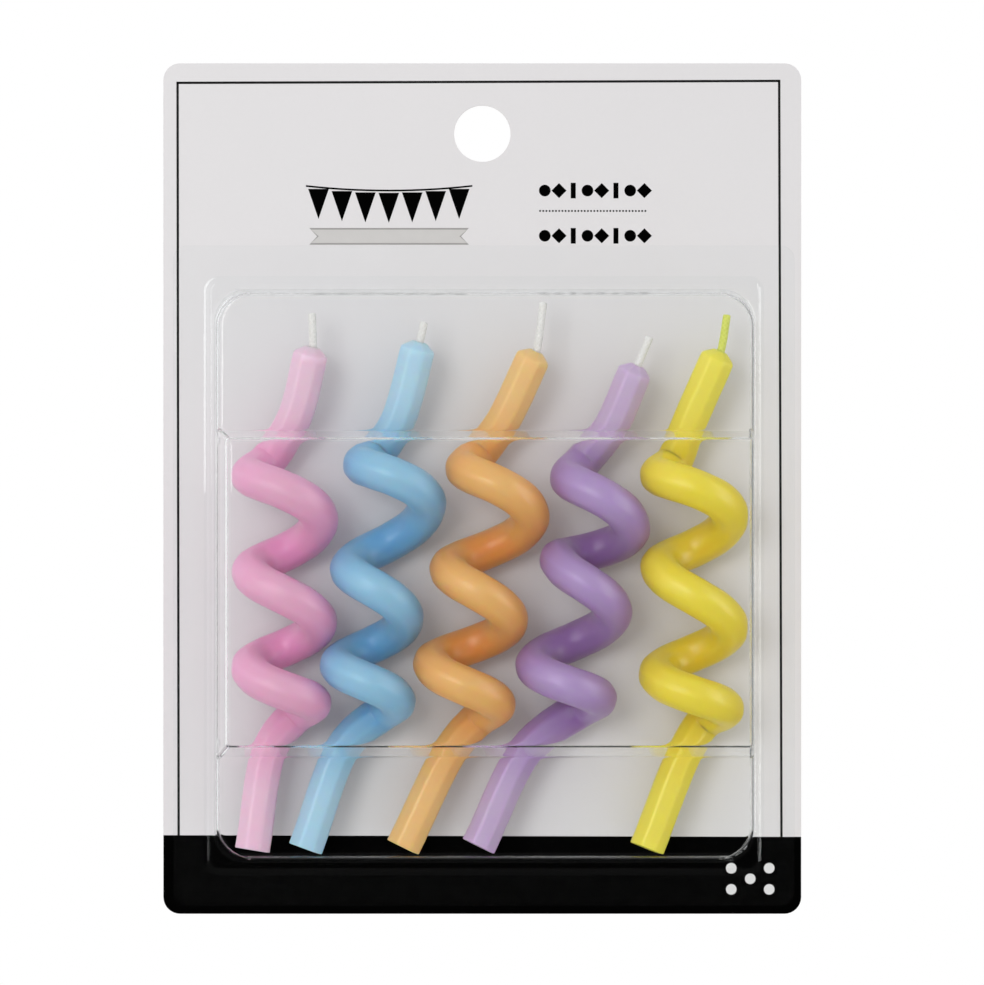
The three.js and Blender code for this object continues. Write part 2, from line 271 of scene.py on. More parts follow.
def clear_sheet(name):
    """Clear PET, vacuum formed. It bends what is seen through its rounds and mirrors more the flatter one looks
    along it. Its index is lower than PET's, which makes its folds fainter. Light that falls through it onto the
    card and the candles, or that has been guided some way along a wall, passes as if it weren't there."""
    material, tree = new_material(name)
    place = add(tree, "ShaderNodeTexCoord").outputs["Object"]
    # Forming leaves waves about 22 mm long
    waves = noise_field(tree, place, 45, 1)
    bump = add(tree, "ShaderNodeBump", {"Height": waves, "Strength": 0.12, "Distance": 0.0004}).outputs[0]
    streaks = add(tree, "ShaderNodeMapRange", {"Value": waves, "To Min": 0.0, "To Max": 0.02}).outputs[0]
    clear = add(tree, "ShaderNodeBsdfGlass", {
        "Color": linear("fdfefe"), "Roughness": streaks, "IOR": 1.35, "Normal": bump,
    }).outputs[0]
    passing = add(tree, "ShaderNodeBsdfTransparent").outputs[0]
    path = add(tree, "ShaderNodeLightPath").outputs
    falling = add(tree, "ShaderNodeMath", {0: path["Is Shadow Ray"], 1: path["Is Diffuse Ray"]},
                  operation="MAXIMUM").outputs[0]
    guided = add(tree, "ShaderNodeMath", {0: path["Ray Depth"], 1: 3.5}, operation="GREATER_THAN").outputs[0]
    unbent = add(tree, "ShaderNodeMath", {0: falling, 1: guided}, operation="MAXIMUM").outputs[0]
    both = add(tree, "ShaderNodeMixShader", {0: unbent, 1: clear, 2: passing}).outputs[0]
    add(tree, "ShaderNodeOutputMaterial", {"Surface": both})
    return material


def sealed_underside(name):
    """The flange's underside where heat seal lacquer joins it to the board: in optical contact, so that it hardly
    mirrors, with a faint unevenness where the lacquer took up."""
    material, tree = new_material(name)
    place = add(tree, "ShaderNodeTexCoord").outputs["Object"]
    # The lacquer takes up in patches of about 1.4 mm
    patches = noise_field(tree, place, 700, 2)
    bump = add(tree, "ShaderNodeBump", {"Height": patches, "Strength": 0.2, "Distance": 0.00005}).outputs[0]
    hold = add(tree, "ShaderNodeMapRange", {"Value": patches, "To Min": 0.0, "To Max": 0.004}).outputs[0]
    through = add(tree, "ShaderNodeBsdfTransparent").outputs[0]
    mirror = add(tree, "ShaderNodeBsdfGlossy", {"Roughness": 0.4, "Normal": bump}).outputs[0]
    both = add(tree, "ShaderNodeMixShader", {0: hold, 1: through, 2: mirror}).outputs[0]
    add(tree, "ShaderNodeOutputMaterial", {"Surface": both})
    return material


# Mesh helpers

def piece(name, bm, body, materials, replaces=(), smooth=True):
    """Makes an object of the mesh that rides on a body. Faces square to the viewer stay flat."""
    mesh = bpy.data.meshes.new(name)
    for face in bm.faces:
        face.smooth = smooth and abs(face.normal.y) < 0.99999
    bm.to_mesh(mesh)
    bm.free()
    made = bpy.data.objects.new(name, mesh)
    bpy.context.scene.collection.objects.link(made)
    for material in materials:
        mesh.materials.append(material)
    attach(made, body)
    if replaces:
        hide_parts(*replaces)
    return made


def rounded_outline(bm, width, height, corner, middle, depth):
    """A loop of edges round a rectangle with rounded corners, at one depth. Tagged faces are left alone."""
    across, up = middle
    verts = [bm.verts.new((across + sx * width / 2, up + sy * height / 2, depth)) for sx, sy in CORNERS]
    bm.faces.new(verts)
    bmesh.ops.bevel(bm, geom=verts, offset=corner, offset_type="OFFSET", segments=CORNER_STEPS, profile=0.5,
                    affect="VERTICES", material=-1)
    face = next(f for f in bm.faces if not f.tag and len(f.verts) > 4)
    edges = list(face.edges)
    bmesh.ops.delete(bm, geom=[face], context="FACES_ONLY")
    return edges


def next_outline(bm, edges, inner, outer):
    """Extrudes a rounded rectangle's loop to the next one, each a (width, height, corner, middle, depth)."""
    grown = bmesh.ops.extrude_edge_only(bm, edges=edges)["geom"]
    verts = {g for g in grown if isinstance(g, bmesh.types.BMVert)}
    for vert in verts:
        place = []
        for axis in (0, 1):
            side = math.copysign(1, vert.co[axis] - inner[3][axis])
            direction = (vert.co[axis] - inner[3][axis] - side * (inner[axis] / 2 - inner[2])) / inner[2]
            place.append(outer[3][axis] + side * (outer[axis] / 2 - outer[2]) + direction * outer[2])
        vert.co = (*place, outer[4])
    return [g for g in grown if isinstance(g, bmesh.types.BMEdge) and verts.issuperset(g.verts)]


def into_row_frame(bm):
    """Turns a mesh drawn as (across, up, depth) in millimetres into the frame's metres."""
    for vert in bm.verts:
        vert.co = placed(*vert.co)


def ordered_grid(bm, columns, rows):
    """The vertices of a grid with this many faces each way, row by row."""
    verts = bmesh.ops.create_grid(bm, x_segments=columns, y_segments=rows, size=1)["verts"]
    return sorted(verts, key=lambda vert: (round(vert.co.y, 6), round(vert.co.x, 6)))


def raise_faces(bm, faces, height):
    """Extrudes the faces forwards by this height, as one block."""
    grown = bmesh.ops.extrude_face_region(bm, geom=faces)["geom"]
    bmesh.ops.translate(bm, verts=[g for g in grown if isinstance(g, bmesh.types.BMVert)], vec=(0, 0, height))


# Board

def board_mesh():
    """The card with its hang hole: material 0 on the front, 1 on the cut edges and 2 on the back."""
    bm = bmesh.new()
    middle = (0, BOARD_TOP - BOARD["height"] / 2)
    outer = rounded_outline(bm, BOARD["width"], BOARD["height"], BOARD["corner"], middle, -BOARD["thickness"])
    hole = bmesh.ops.create_circle(bm, segments=64, radius=HANG_HOLE_DIAMETER / 2)["verts"]
    bmesh.ops.translate(bm, verts=hole, vec=(0, 0, -BOARD["thickness"]))
    rim = list({edge for vert in hole for edge in vert.link_edges})
    front = [f for f in bmesh.ops.triangle_fill(bm, edges=outer + rim, use_beauty=True)["geom"]
             if isinstance(f, bmesh.types.BMFace)]
    raise_faces(bm, front, BOARD["thickness"])
    bmesh.ops.remove_doubles(bm, verts=bm.verts, dist=1e-5)
    bmesh.ops.recalc_face_normals(bm, faces=bm.faces)
    for face in bm.faces:
        depth = face.calc_center_median().z
        face.material_index = 0 if depth > -0.01 else 2 if depth < -BOARD["thickness"] + 0.01 else 1
    into_row_frame(bm)
    bmesh.ops.recalc_face_normals(bm, faces=bm.faces)
    return bm


# Formed sheet

def lean(depth, side):
    """How far inside the tray's base line a side wall stands at this depth, the base fillet included."""
    base = PLINTH["depth"]
    above = min(1, (depth - base) / FILLETS["base"])
    flare = FILLETS["base"] * (1 - math.sqrt(1 - (1 - above) ** 2))
    inset = TRAY_DRAFT[side] * min(depth, TRAY["depth"]) - flare
    if depth > TRAY["depth"]:
        share = (depth - TRAY["depth"]) / (BAND["depth"] - TRAY["depth"])
        inset += BAND["ledge"] + BAND_INSET[side] * share
    return inset


def corner_cut(distance, radius):
    """How far a rounded corner's arc stands inside the side, at this distance from the end."""
    missing = min(max(radius - distance, 0), radius)
    return radius - math.sqrt(radius ** 2 - missing ** 2)


def wall_across(side, up, depth):
    """Where a side wall stands at this height up the card and this depth."""
    tray_depth = min(depth, TRAY["depth"])
    below = up - (TRAY["bottom"] + lean(tray_depth, "bottom"))
    above = TRAY["bottom"] + TRAY["height"] - lean(tray_depth, "top") - up
    inset = lean(depth, side) + corner_cut(min(below, above), TRAY["corner"])
    if depth > TRAY["depth"]:
        share = (depth - TRAY["depth"]) / (BAND["depth"] - TRAY["depth"])
        below = up - (BAND["bottom"] + BAND_INSET["bottom"] * share)
        above = BAND["bottom"] + BAND["height"] - BAND_INSET["top"] * share - up
        inset += corner_cut(min(below, above), BAND["corner"])
    return TRAY["left"] + inset if side == "left" else TRAY["right"] - inset


def arc(corner, before, after, radius, steps):
    """Points of the round that replaces a corner between two straight runs."""
    incoming = (Vector(before) - Vector(corner)).normalized()
    outgoing = (Vector(after) - Vector(corner)).normalized()
    half = incoming.angle(outgoing) / 2
    middle = Vector(corner) + (incoming + outgoing).normalized() * radius / math.sin(half)
    start = Vector(corner) + incoming * radius / math.tan(half) - middle
    end = Vector(corner) + outgoing * radius / math.tan(half) - middle
    whole = start.angle(end)
    points = []
    for step in range(steps + 1):
        share = step / steps
        weights = (math.sin((1 - share) * whole) / math.sin(whole), math.sin(share * whole) / math.sin(whole))
        points.append(tuple(middle + start * weights[0] + end * weights[1]))
    return points


def end_rows(end):
    """The profile of the tray's lower or upper end as (distance from its base line, depth) rows."""
    base = PLINTH["depth"]
    top = TRAY["depth"]
    rows = []
    for step in range(5):
        depth = base + FILLETS["base"] * math.sin(math.radians(90) * (1 - math.cos(math.radians(22.5 * step))))
        rows.append((lean(depth, end), depth))
    for step in range(1, 7):
        depth = base + FILLETS["base"] + (top - FILLETS["tray"] - base - FILLETS["base"] - 0.3) * (step / 6)
        rows.append((lean(depth, end), depth))
    front = lean(top, end)
    rows += arc((front, top), rows[-1], (front + 5, top), FILLETS["tray"], ROUND_STEPS)
    reach = TRAY["corner"]
    first = rows[-1][0] - front
    for step in range(1, 8):
        sine = (1 - first / reach) * (1 - step / 7)
        rows.append((front + reach * (1 - sine), top))
    return rows


def band_rows(end):
    """The profile of the band's lower or upper end as (distance from its base line, depth) rows."""
    low, high, inset = TRAY["depth"], BAND["depth"], BAND_INSET[end]
    rows = arc((0, low), (-5, low), (inset, high), FILLETS["step"], 8)
    rows += [(inset * share, low + (high - low) * share) for share in (0.15, 0.35, 0.6)]
    rows += arc((inset, high), (0, low), (inset + 5, high), FILLETS["band"], ROUND_STEPS)
    return rows + [(inset + 1.6, high), (inset + 3, high)]


def pocket_rows():
    """The pocket's profile up the card as (up, depth) rows."""
    tray_top = TRAY["bottom"] + TRAY["height"]
    band_top = BAND["bottom"] + BAND["height"]
    rows = [(TRAY["bottom"] + distance, depth) for distance, depth in end_rows("bottom")]
    rows += [(BAND["bottom"] - 3, TRAY["depth"])]
    rows += [(BAND["bottom"] + distance, depth) for distance, depth in band_rows("bottom")]
    rows += [(up, BAND["depth"]) for up in (-100.0, -90.0, -80.0, -70.0, -62.0)]
    rows += [(band_top - distance, depth) for distance, depth in reversed(band_rows("top"))]
    rows += [(band_top + 3, TRAY["depth"])]
    rows += [(tray_top - distance, depth) for distance, depth in reversed(end_rows("top"))]
    return rows


def side_points(side, up, depth, level):
    """The section of a side wall from its base to the level front, as (across, depth) points."""
    base = PLINTH["depth"]
    fillet = level * (FILLETS["band"] if depth > TRAY["depth"] + 1 else FILLETS["tray"])
    fillet = min(fillet, max(depth - base - FILLETS["base"], 0))
    top = depth - fillet
    foot_top = min(top, base + FILLETS["base"])
    tray_top = min(top, TRAY["depth"])
    depths = [base + (foot_top - base) * math.sin(math.radians(90) * step / 4) for step in range(4)]
    depths += [tray_top - (tray_top - foot_top) * (1 - step / 4) ** 2 for step in range(4)]
    depths += [top - (top - tray_top) * (1 - step / 4) ** 2 for step in range(5)]
    points = [(wall_across(side, up, each), each) for each in depths]
    wall_top = points[-1][0]
    inward = 1 if side == "left" else -1
    for step in range(1, ROUND_STEPS + 1):
        angle = math.radians(90) * step / ROUND_STEPS
        points.append((wall_top + inward * fillet * (1 - math.cos(angle)), top + fillet * math.sin(angle)))
    return points


def pocket_grid(bm):
    """The tray and the band as one grid, each row of it a section across the pocket."""
    rows = pocket_rows()
    front_columns = 8
    wide = 2 * len(side_points("left", *rows[0], 1)) + front_columns - 1
    grid = ordered_grid(bm, wide - 1, len(rows) - 1)
    for index, (up, depth) in enumerate(rows):
        before = rows[max(index - 1, 0)]
        after = rows[min(index + 1, len(rows) - 1)]
        run = Vector(after) - Vector(before)
        level = (run.x / run.length) ** 2
        left = side_points("left", up, depth, level)
        right = side_points("right", up, depth, level)
        flat = [(left[-1][0] + (right[-1][0] - left[-1][0]) * step / front_columns, depth)
                for step in range(1, front_columns)]
        line = left + flat + right[::-1]
        for column, (across, point_depth) in enumerate(line):
            grid[index * wide + column].co = (across, up, point_depth)
    bmesh.ops.remove_doubles(bm, verts=bm.verts, dist=1e-4)


def sheet_mesh():
    """The formed sheet's outer face: the pocket, then the low step and the flange round it. The flange has a
    material of its own, because only its underside is sealed."""
    bm = bmesh.new()
    pocket_grid(bm)
    for face in bm.faces:
        face.tag = True
    brim = [edge for edge in bm.edges if edge.is_boundary]
    plinth_middle = (0, PLINTH["bottom"] + PLINTH["height"] / 2)
    flange_middle = (0, FLANGE["bottom"] + FLANGE["height"] / 2)
    rings = [(PLINTH["width"] + 2 * outset, PLINTH["height"] + 2 * outset, PLINTH["corner"] + outset,
              plinth_middle, depth) for outset, depth in PLINTH_SLOPE]
    rings.append((FLANGE["width"], FLANGE["height"], FLANGE["corner"], flange_middle, FLANGE["depth"]))
    edges = rounded_outline(bm, *rings[0])
    bmesh.ops.triangle_fill(bm, edges=brim + edges, use_beauty=True)
    for inner, outer in zip(rings, rings[1:]):
        edges = next_outline(bm, edges, inner, outer)
    for edge in edges:
        for face in edge.link_faces:
            face.material_index = 2
    bmesh.ops.remove_doubles(bm, verts=bm.verts, dist=1e-4)
    bmesh.ops.translate(bm, verts=bm.verts, vec=(SHEET_ACROSS, 0, SEAL_GAP))
    into_row_frame(bm)
    bmesh.ops.recalc_face_normals(bm, faces=bm.faces)
    if sum(face.normal.y * face.calc_area() for face in bm.faces) > 0:
        bmesh.ops.reverse_faces(bm, faces=bm.faces)
    return bm


# Candles

def spline(points, steps):
    """A centripetal Catmull-Rom line through the points, with this many steps for each stretch."""
    ends = [points[0] * 2 - points[1], *points, points[-1] * 2 - points[-2]]
    line = []
    for p0, p1, p2, p3 in zip(ends, ends[1:], ends[2:], ends[3:]):
        d0, d1, d2 = (math.sqrt((b - a).length) for a, b in ((p0, p1), (p1, p2), (p2, p3)))
        t1 = ((p1 - p0) / d0 - (p2 - p0) / (d0 + d1) + (p2 - p1) / d1) * d1
        t2 = ((p2 - p1) / d1 - (p3 - p1) / (d1 + d2) + (p3 - p2) / d2) * d1
        for step in range(steps):
            t = step / steps
            line.append(p1 + t1 * t + (p2 * 3 - p1 * 3 - t1 * 2 - t2) * t ** 2
                        + (p1 * 2 - p2 * 2 + t1 + t2) * t ** 3)
    return line + [points[-1]]


def evenly(line, count):
    """The line as count equal steps along its length."""
    lengths = [0.0]
    for a, b in zip(line, line[1:]):
        lengths.append(lengths[-1] + (b - a).length)
    points = []
    index = 0
    for step in range(count + 1):
        wanted = lengths[-1] * step / count
        while index < len(line) - 2 and lengths[index + 1] < wanted:
            index += 1
        share = (wanted - lengths[index]) / (lengths[index + 1] - lengths[index])
        points.append(line[index].lerp(line[index + 1], share))
    return points


def softened(line, passes):
    """The line with its sharp changes of direction evened out. Its ends stay."""
    for _ in range(passes):
        line = [line[0]] + [(a + b * 2 + c) / 4 for a, b, c in zip(line, line[1:], line[2:])] + [line[-1]]
    return line


def past_coil(outer, inner, share):
    """Where the rod is once it has gone this share of a half turn behind the coil, past its last turning point."""
    swing = (1 - math.cos(math.pi * share)) / 2
    depth = COIL["depth"] - COIL["radius"] * math.sin(math.pi * share)
    return Vector((outer[0] + (inner[0] - outer[0]) * swing, outer[1] - (inner[1] - outer[1]) * share, depth))


def rod_line(candle):
    """The wax rod's middle line from its tip to its foot, the same one as in the solids."""
    bends = candle["bends"]
    points = [
        Vector((*candle["tip"], END_DEPTH["tip"])),
        Vector((*candle["neck"], END_DEPTH["neck"])),
        past_coil(bends[0], bends[1], COIL["upper"]),
    ]
    for bend, (start, end) in enumerate(zip(bends, bends[1:])):
        side = 1 if bend % 2 == 0 else -1
        for eighth in range(4):
            share = eighth / 4
            swing = (1 - math.cos(math.pi * share)) / 2
            nearness = side * math.sin(math.pi * share)
            points.append(Vector((
                start[0] + (end[0] - start[0]) * swing,
                start[1] + (end[1] - start[1]) * share + candle["slants"][bend] * nearness,
                COIL["depth"] + COIL["radius"] * nearness,
            )))
    points.append(Vector((*bends[-1], COIL["depth"])))
    points.append(past_coil(bends[-1], bends[-2], COIL["lower"]))
    points.append(Vector((*candle["hip"], END_DEPTH["hip"])))
    points.append(Vector((*candle["foot"], END_DEPTH["foot"])))
    return softened(evenly(spline(points, 24), 400), 6)


def carried_frames(line):
    """A direction across the line at each point that turns with it without twisting, and starts towards the
    viewer. What is left to turn at the end is shared out along the line, so that both ends show a flat."""
    tangents = []
    for index in range(len(line)):
        tangents.append((line[min(index + 1, len(line) - 1)] - line[max(index - 1, 0)]).normalized())
    viewer = Vector((0, 0, 1))
    across = [(viewer - tangents[0] * viewer.dot(tangents[0])).normalized()]
    for before, after in zip(tangents, tangents[1:]):
        carried = before.rotation_difference(after) @ across[-1]
        across.append((carried - after * carried.dot(after)).normalized())
    last = (viewer - tangents[-1] * viewer.dot(tangents[-1])).normalized()
    left = across[-1].angle(last) * (1 if across[-1].cross(last).dot(tangents[-1]) > 0 else -1)
    flat = math.radians(45)
    left -= round(left / flat) * flat
    return tangents, [
        Quaternion(tangent, left * index / (len(line) - 1)) @ direction
        for index, (tangent, direction) in enumerate(zip(tangents, across))
    ]


def smoothstep(value, low, high):
    """0 up to low, 1 from high, and a smooth rise between them."""
    share = min(max((value - low) / (high - low), 0), 1)
    return share * share * (3 - 2 * share)


def coiling(share):
    """1 in the coil and 0 in the straight ends, at this share of the rod's length."""
    return smoothstep(share, *COIL["starts"]) - smoothstep(share, *COIL["ends"])


def octagon_reach(angle, flat_distance, edge_radius):
    """How far an octagon with rounded edges reaches at an angle from a flat's middle."""
    half = math.radians(22.5)
    within = abs((angle + half) % (2 * half) - half)
    edge_middle = (flat_distance - edge_radius) / math.cos(half)
    if within <= math.atan2(edge_middle * math.sin(half), flat_distance):
        return flat_distance / math.cos(within)
    aside = edge_middle * math.sin(half - within)
    return edge_middle * math.cos(half - within) + math.sqrt(edge_radius ** 2 - aside ** 2)


def coil_middle(candle, up):
    """How far across the coil's own middle line is at this height up the card."""
    turns = [((x1 + x2) / 2, (y1 + y2) / 2) for (x1, y1), (x2, y2) in zip(candle["bends"], candle["bends"][1:])]
    if up >= turns[0][1]:
        return turns[0][0]
    for (x1, y1), (x2, y2) in zip(turns, turns[1:]):
        if up >= y2:
            return x1 + (x2 - x1) * (up - y1) / (y2 - y1)
    return turns[-1][0]


def wax_mesh(candle, line, seed):
    """The rod as one closed skin: down the outside, across the cut foot, up the bore and out over the tip. Each
    point keeps how much of the paler colour it takes as painted light and shade, from how it faces in the coil, and
    how much paler it is painted near the tip and the foot."""
    angles = [math.radians(45 * flat + step) for flat in range(8) for step in (0, 12.5, 17.5, 22.5, 27.5, 32.5)]
    around = len(angles)
    tangents, across = carried_frames(line)
    count = len(line) - 1
    full = ROD_DIAMETER / 2
    bore = BORE_DIAMETER / 2
    # Each ring: the point of the middle line, how far ahead of it, the section's size and how round its edges are
    rings = [(0, ahead, size, 0.35) for ahead, size in (
        (-0.95, bore), (-0.93, 1.0), (-0.87, 1.3), (-0.72, 1.55), (-0.3, 2.12), (0.1, 2.68), (0.25, 2.86),
        (0.4, 2.99), (0.6, full - 0.06),
    )]
    for index in range(4, count - 1):
        coiled = coiling(index / count)
        rings.append((index, 0, full + (COIL_DIAMETER / 2 - full) * coiled, 0.3 + 0.55 * coiled))
    rings += [(count, -0.14, full, 0.3), (count, -0.05, full - 0.03, 0.3), (count, 0, full - 0.13, 0.3),
              (count, -0.03, full - 0.4, 0.3), (count, -0.05, 1.6, 0.6), (count, 0, bore, 1)]
    rings += [(index, 0, bore, 1) for index in range(count - 4, 2, -4)]
    bm = bmesh.new()
    painted_lit_share = bm.verts.layers.float.new("painted_lit_share")
    paler_ends_painted = bm.verts.layers.float.new("paler_ends_painted")
    grid = ordered_grid(bm, around, len(rings))
    for row in range(len(rings) + 1):
        index, ahead, size, roundness = rings[row % len(rings)]
        middle = line[index] + tangents[index] * ahead
        share = index / count
        coiled = coiling(share)
        # Painted light and shade: faces turned to the viewer on the front turns are painted paler, those on the back
        # turns and the outer sides deeper
        painted_lit_facing = Vector((
            BEND_SIDE_PAINTED_LIGHT * (middle.x - coil_middle(candle, middle.y)), 0, middle.z - COIL["depth"],
        )) / COIL["radius"]
        side = across[index]
        upright = tangents[index].cross(side)
        for column in range(around + 1):
            angle = angles[column % around]
            direction = side * math.cos(angle) + upright * math.sin(angle)
            reach = octagon_reach(angle, size * (0.955 + 0.045 * roundness), size * roundness * 0.95)
            if size > 2:  # the outside, not the bore
                reach += DENT * noise.noise((middle + direction * reach) * 0.45 + Vector((seed, 0, 0)))
            vert = grid[row * (around + 1) + column]
            vert.co = middle + direction * reach
            vert[painted_lit_share] = 0.8 - coiled * (0.3 - 0.5 * max(-1, min(1, direction.dot(painted_lit_facing))))
            # Painted light: the tip and, a little less, the foot are painted paler
            vert[paler_ends_painted] = 1 - smoothstep(share, 0.04, 0.14) + 0.75 * smoothstep(share, 0.88, 0.95)
    bmesh.ops.remove_doubles(bm, verts=bm.verts, dist=1e-4)
    into_row_frame(bm)
    bmesh.ops.recalc_face_normals(bm, faces=bm.faces)
    return bm


def wick_mesh(candle, line):
    """The wick: a round braid that follows the rod's middle line and stands out of its tip."""
    around = 12
    ahead = (line[0] - line[1]).normalized()
    top = Vector((*candle["wick_top"], END_DEPTH["tip"]))
    path = spline([top, line[0] + ahead * 1.2, *line[1::8]], 3)
    path[-1] = line[-1]
    path = evenly(path, 500)
    tangents, across = carried_frames(path)
    bm = bmesh.new()
    count = len(path) - 1
    rings = [(0, 0, 0.0), (0, 0, 0.45), (0, 0.08, 0.66)]
    rings += [(index, 0, WICK_DIAMETER / 2) for index in range(1, count)]
    rings += [(count, 0, 0.66), (count, 0, 0.0)]
    grid = ordered_grid(bm, around, len(rings) - 1)
    length = sum((b - a).length for a, b in zip(path, path[1:]))
    layer = bm.loops.layers.uv.new("along")
    for row, (index, ahead_by, radius) in enumerate(rings):
        middle = path[index] + tangents[index] * ahead_by
        side = across[index]
        upright = tangents[index].cross(side)
        for column in range(around + 1):
            angle = 2 * math.pi * (column % around) / around
            direction = side * math.cos(angle) + upright * math.sin(angle)
            vert = grid[row * (around + 1) + column]
            place = (math.pi * WICK_DIAMETER * column / around, length * row / len(rings))
            for loop in vert.link_loops:
                loop[layer].uv = place
            vert.co = middle + direction * radius
    bmesh.ops.remove_doubles(bm, verts=bm.verts, dist=1e-4)
    into_row_frame(bm)
    bmesh.ops.recalc_face_normals(bm, faces=bm.faces)
    return bm


# Print

def ink_block(bm, corners, depth=0.0):
    """A flat patch of ink with these corners, one ink's thickness high."""
    verts = [bm.verts.new((across, up, depth - INK_ROOT)) for across, up in corners]
    raise_faces(bm, [bm.faces.new(verts)], INK + INK_ROOT)


def disc(middle, radius, sides):
    """The corners of a regular polygon, its first one to the right."""
    return [(middle[0] + radius * math.cos(2 * math.pi * side / sides),
             middle[1] + radius * math.sin(2 * math.pi * side / sides)) for side in range(sides)]


def finish_ink(bm, name, material):
    into_row_frame(bm)
    bmesh.ops.recalc_face_normals(bm, faces=bm.faces)
    piece(name, bm, "card", [material], smooth=False)


def border_line():
    """A fine black frame that ends at the foot band."""
    bm = bmesh.new()
    half = FRAME_LINE["width"] / 2
    corners = [(FRAME_FEET["left"], FOOT_BAND_TOP["left"]), FRAME_LINE["upper_left"],
               FRAME_LINE["upper_right"], (FRAME_FEET["right"], FOOT_BAND_TOP["right"])]
    for (ax, ay), (bx, by) in zip(corners, corners[1:]):
        run = Vector((bx - ax, by - ay)).normalized() * half
        side = Vector((-run.y, run.x))
        start = Vector((ax, ay)) - run
        end = Vector((bx, by)) + run
        ink_block(bm, [tuple(start - side), tuple(end - side), tuple(end + side), tuple(start + side)])
    return bm


def foot_band():
    """The black band over the card's foot, just inside its edge, with the card's own rounded corners."""
    bm = bmesh.new()
    margin = 0.02
    half = BOARD["width"] / 2 - margin
    verts = [bm.verts.new((across, up, -INK_ROOT)) for across, up in (
        (-half, BOARD_BOTTOM + margin), (half, BOARD_BOTTOM + margin),
        (half, FOOT_BAND_TOP["right"]), (-half, FOOT_BAND_TOP["left"]),
    )]
    bm.faces.new(verts)
    bmesh.ops.bevel(bm, geom=verts[:2], offset=BOARD["corner"], offset_type="OFFSET", segments=CORNER_STEPS,
                    profile=0.5, affect="VERTICES", material=-1)
    raise_faces(bm, list(bm.faces), INK + INK_ROOT)
    return bm


def pennant_row():
    """A garland of pennants on a cord, in black."""
    bm = bmesh.new()
    for index in range(PENNANT["count"]):
        left = PENNANT["first"] + index * PENNANT["pitch"]
        top = PENNANT["top"] - GARLAND_SAG * (1 - ((index - 3) / 3.4) ** 2)
        middle = (left + PENNANT["width"] / 2, top - PENNANT["drop"])
        ink_block(bm, [(left, top), middle, (left + PENNANT["width"], top)])
    spots = [CORD["first"] + CORD["step"] * step for step in range(CORD["steps"] + 1)]
    cord = [(across, CORD["top"] - GARLAND_SAG * (1 - ((across - CORD["middle"]) / CORD["half_span"]) ** 2))
            for across in spots]
    ink_block(bm, [(across, up - CORD["half"]) for across, up in cord]
              + [(across, up + CORD["half"]) for across, up in cord[::-1]])
    return bm


def ribbon_bar(inset, depth):
    """A ribbon with notched ends below the pennants."""
    bm = bmesh.new()
    left, right = RIBBON["left"] + inset, RIBBON["right"] - inset
    low, high = RIBBON["bottom"] + inset, RIBBON["top"] - inset
    middle = (low + high) / 2
    ink_block(bm, [(left, low), (right, low), (right - RIBBON["notch"], middle), (right, high), (left, high),
                   (left + RIBBON["notch"], middle)], depth)
    return bm


def confetti_rows():
    """Two rows of dots, diamonds and bars with a dotted rule between them."""
    bm = bmesh.new()
    for up in CONFETTI["rows"]:
        for index in range(CONFETTI["count"]):
            across = CONFETTI["first"] + index * CONFETTI["pitch"]
            dot, diamond = disc((across, up), 1.05, 20), disc((across, up), 1.35, 4)
            bar = [(across + sx * 0.45, up + sy * 1.4) for sx, sy in CORNERS]
            ink_block(bm, (dot, diamond, bar)[index % 3])
    for index in range(DOTTED_RULE["count"]):
        across = DOTTED_RULE["first"] + index * DOTTED_RULE["pitch"]
        ink_block(bm, disc((across, DOTTED_RULE["up"]), DOTTED_RULE["radius"], 8))
    return bm


def count_pips():
    """Five white pips set out as on a die, one for each candle in the pack."""
    bm = bmesh.new()
    for aside, above in ((-1, -1), (-1, 1), (0, 0), (1, -1), (1, 1)):
        middle = (PIPS["across"] + PIPS["aside"] * aside, PIPS["up"] + PIPS["above"] * above)
        ink_block(bm, disc(middle, PIPS["radius"], 28), depth=INK)
    return bm


def build_card():
    """The board and its print. The fine frame line takes less ink than the solid patches."""
    coat = paper_board("clay_coated_board_front", "e3e1e2", "dfddde", 0.42, 1500, 0.04)
    edge = paper_board("cut_board_edge", "e9e7e2", "d8d5cd", 0.85, 5000, 0.5)
    back = paper_board("uncoated_board_back", "e6e4df", "dcd9d2", 0.8, 2600, 0.4)
    black = printed_ink("offset_ink_black", "020202", "010101", 0.5, 0.02)
    line_black = printed_ink("offset_ink_black_fine", "202020", "191919", 0.5, 0.1)
    grey = printed_ink("offset_ink_grey", "a3a19f", "9b9997", 0.45, 0.3)
    pale = printed_ink("offset_ink_pale_grey", "cfcdcb", "c8c6c4", 0.45, 0.3)
    white = printed_ink("offset_ink_white", "e6e6e6", "dddddd", 0.5, 0.3)
    piece("printed_board", board_mesh(), "card", [coat, edge, back], ["backing_card"], smooth=False)
    finish_ink(border_line(), "print_border", line_black)
    finish_ink(foot_band(), "print_foot_band", black)
    finish_ink(pennant_row(), "print_pennants", black)
    finish_ink(ribbon_bar(0, 0), "print_ribbon_edge", grey)
    finish_ink(ribbon_bar(RIBBON["edge"], INK), "print_ribbon", pale)
    finish_ink(confetti_rows(), "print_confetti", black)
    finish_ink(count_pips(), "print_count_pips", white)


def build_blister():
    """The sheet. Its wall's inner side takes the next material, so only the flange's underside is sealed."""
    pet = clear_sheet("vacuum_formed_clear_pet")
    sheet = piece("formed_sheet", sheet_mesh(), "blister",
                  [pet, pet, pet, sealed_underside("heat_sealed_underside")], ["blister"])
    wall = sheet.modifiers.new("wall", "SOLIDIFY")
    wall.thickness = SHEET * MM
    wall.offset = -1
    wall.material_offset = 1
    even = sheet.modifiers.new("even_normals", "WEIGHTED_NORMAL")
    even.keep_sharp = True


